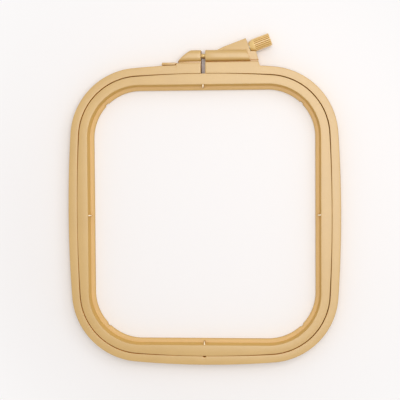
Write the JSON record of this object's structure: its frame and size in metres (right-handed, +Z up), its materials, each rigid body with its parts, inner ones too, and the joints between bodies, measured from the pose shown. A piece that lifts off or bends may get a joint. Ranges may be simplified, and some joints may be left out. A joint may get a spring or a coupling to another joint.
{
  "type": "embroidery hoop",
  "caption": "Rounded rectangular embroidery hoop: an inner ring inside a springy outer ring drawn closed by a screw with an angled thumb knob.",
  "frame": {"origin": "middle of the open field, on the plane that the hoop lies on", "axes": "+Z up out of the rings' top faces, +Y towards the screw closure, +X towards the knob's side"},
  "size_m": [0.1782, 0.2163, 0.01],
  "materials": {
    "ring_plastic": "moulded, softly satin, warm beige",
    "knob_plastic": "moulded and fluted, satin, warm beige",
    "brass": "turned, bright",
    "steel": "zinc plated"
  },
  "bodies": {
    "root": {"outer_ring_base": "ring_plastic"},
    "inner": {"inner_ring": "ring_plastic"},
    "left_side": {"outer_ring_left": "ring_plastic", "captive_nut": "brass"},
    "right_side": {"outer_ring_right": "ring_plastic", "housing_cover": "ring_plastic", "thrust_washer": "steel"},
    "screw": {"draw_screw": "brass", "retaining_clip": "steel", "cross_pin": "steel"},
    "knob": {"thumb_knob": "knob_plastic", "drive_shaft": "steel", "joint_cup": "brass"}
  },
  "joints": [
    {"name": "left_open", "type": "hinge", "parent": "root", "child": "left_side", "pos_m": [-0.0418, -0.0966, 0], "axis": [0, 0, 1], "range_deg": [0, 0.57153]},
    {"name": "right_open", "type": "hinge", "parent": "root", "child": "right_side", "pos_m": [0.0418, -0.0966, 0], "axis": [0, 0, -1], "range_deg": [0, 0.57267]},
    {"name": "knob_turn", "type": "hinge", "parent": "right_side", "child": "knob", "pos_m": [0.01553, 0.1039, 0.0048], "axis": [0.9379, 0.3469, 0], "range_deg": [0, 2402]},
    {"name": "screw_turn", "type": "hinge", "parent": "right_side", "child": "screw", "pos_m": [0.01553, 0.1039, 0.0048], "axis": [1, 0, 0], "range_deg": [0, 2402]},
    {"name": "inner_lift", "type": "slide", "parent": "root", "child": "inner", "axis": [0, 0, 1], "range_m": [0, 0.03]}
  ],
  "couplings": [
    {"joint": "right_open", "follows": "left_open", "ratio": 1},
    {"joint": "knob_turn", "follows": "left_open", "ratio": 4199.2},
    {"joint": "screw_turn", "follows": "left_open", "ratio": 4199.2}
  ]
}
